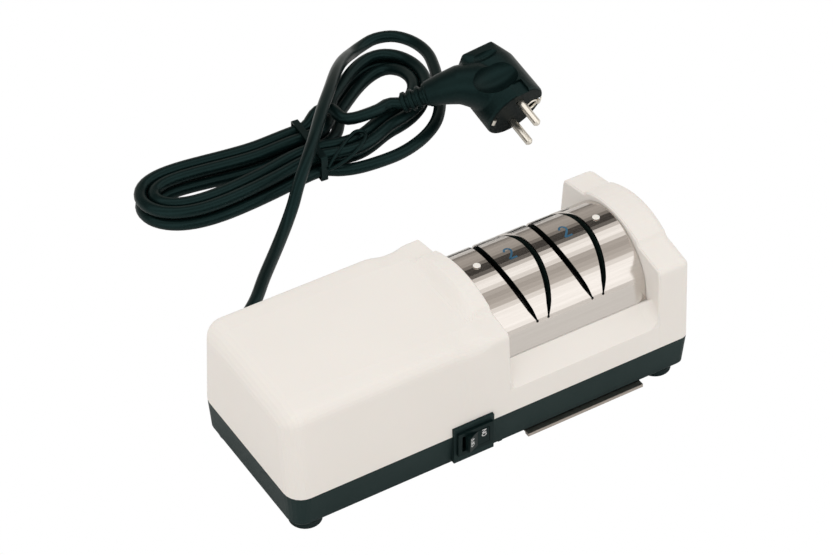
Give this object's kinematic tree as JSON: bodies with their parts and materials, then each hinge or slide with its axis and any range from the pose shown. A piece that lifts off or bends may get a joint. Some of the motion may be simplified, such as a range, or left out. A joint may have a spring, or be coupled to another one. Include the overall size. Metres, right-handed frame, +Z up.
{
  "type": "electric knife sharpener",
  "caption": "White and black countertop electric knife sharpener with a steel cover over double-slot grinding stages, front rocker switch, sliding filings tray and tied-up mains cord",
  "frame": {"origin": "centre of the body box at the underside of the feet, without the cord", "axes": "+X along the body from the motor end to the tower end, +Y from the user to the back, +Z up"},
  "size_m": [0.2886, 0.3439, 0.0858],
  "materials": {
    "white_moulding": "satin moulded, warm off-white",
    "black_moulding": "fine moulded grain",
    "switch_moulding": "polished moulding",
    "foot_rubber": "matt",
    "cord_sheath": "smooth sheath with a soft gloss",
    "cover_steel": "satin, brushed along the body",
    "tray_steel": "plain rolled sheet",
    "bobbin_moulding": "plain",
    "copper": null,
    "motor_iron": "stacked laminations",
    "abrasive": "fine grit on steel",
    "magnet": "plain ferrite",
    "contact_metal": "bright plating",
    "machine_steel": "turned or pressed"
  },
  "bodies": {
    "root": {"base_shell": "black_moulding", "bearing_left": "machine_steel", "bearing_right": "machine_steel", "clamp_screw_left": "machine_steel", "clamp_screw_right": "machine_steel", "coil_bobbin": "bobbin_moulding", "coil_winding": "copper", "cord_clamp": "machine_steel", "cord_hank": "cord_sheath", "cord_lead": "cord_sheath", "cord_tail": "cord_sheath", "cord_tie": "cord_sheath", "cover_pin_left": "white_moulding", "cover_pin_right": "white_moulding", "end_bearing": "machine_steel", "end_bearing_holder": "black_moulding", "filings_magnet": "magnet", "foot_front_left": "foot_rubber", "foot_front_right": "foot_rubber", "foot_rear_left": "foot_rubber", "foot_rear_right": "foot_rubber", "housing_screw_front_left": "machine_steel", "housing_screw_front_right": "machine_steel", "housing_screw_rear_left": "machine_steel", "housing_screw_rear_right": "machine_steel", "motor_bracket_left": "machine_steel", "motor_bracket_right": "machine_steel", "motor_pad_high": "foot_rubber", "motor_pad_low": "foot_rubber", "motor_screw_high": "machine_steel", "motor_screw_low": "machine_steel", "plug_body": "cord_sheath", "plug_earth_strip": "contact_metal", "plug_pin_lower": "contact_metal", "plug_pin_upper": "contact_metal", "shading_ring_front": "copper", "shading_ring_rear": "copper", "slot_guide": "black_moulding", "stator_stack": "motor_iron", "steel_cover": "cover_steel", "strain_relief": "cord_sheath", "switch_body": "switch_moulding", "switch_terminal_left": "contact_metal", "switch_terminal_right": "contact_metal", "upper_housing": "white_moulding", "wire_cord_coil": "cord_sheath", "wire_cord_switch": "cord_sheath", "wire_switch_coil": "cord_sheath"},
    "spindle": {"coarse_disc_left": "abrasive", "coarse_disc_right": "abrasive", "cooling_fan": "black_moulding", "fine_disc_left": "abrasive", "fine_disc_right": "abrasive", "rotor_core": "motor_iron", "spacer_middle": "machine_steel", "spacer_right": "machine_steel", "spindle_nut": "machine_steel", "spindle_shaft": "machine_steel"},
    "rocker": {"switch_rocker": "switch_moulding"},
    "tray": {"filings_tray": "tray_steel"}
  },
  "joints": [
    {"name": "spindle_turn", "type": "hinge", "parent": "root", "child": "spindle", "pos_m": [0, 0.003, 0.0483], "axis": [1, 0, 0], "continuous": true},
    {"name": "rocker_press", "type": "hinge", "parent": "root", "child": "rocker", "pos_m": [-0.015, -0.044, 0.02], "axis": [0, 0, 1], "range_deg": [-24, 0]},
    {"name": "tray_slide", "type": "slide", "parent": "root", "child": "tray", "axis": [0, -1, 0], "range_m": [0, 0.06]}
  ]
}
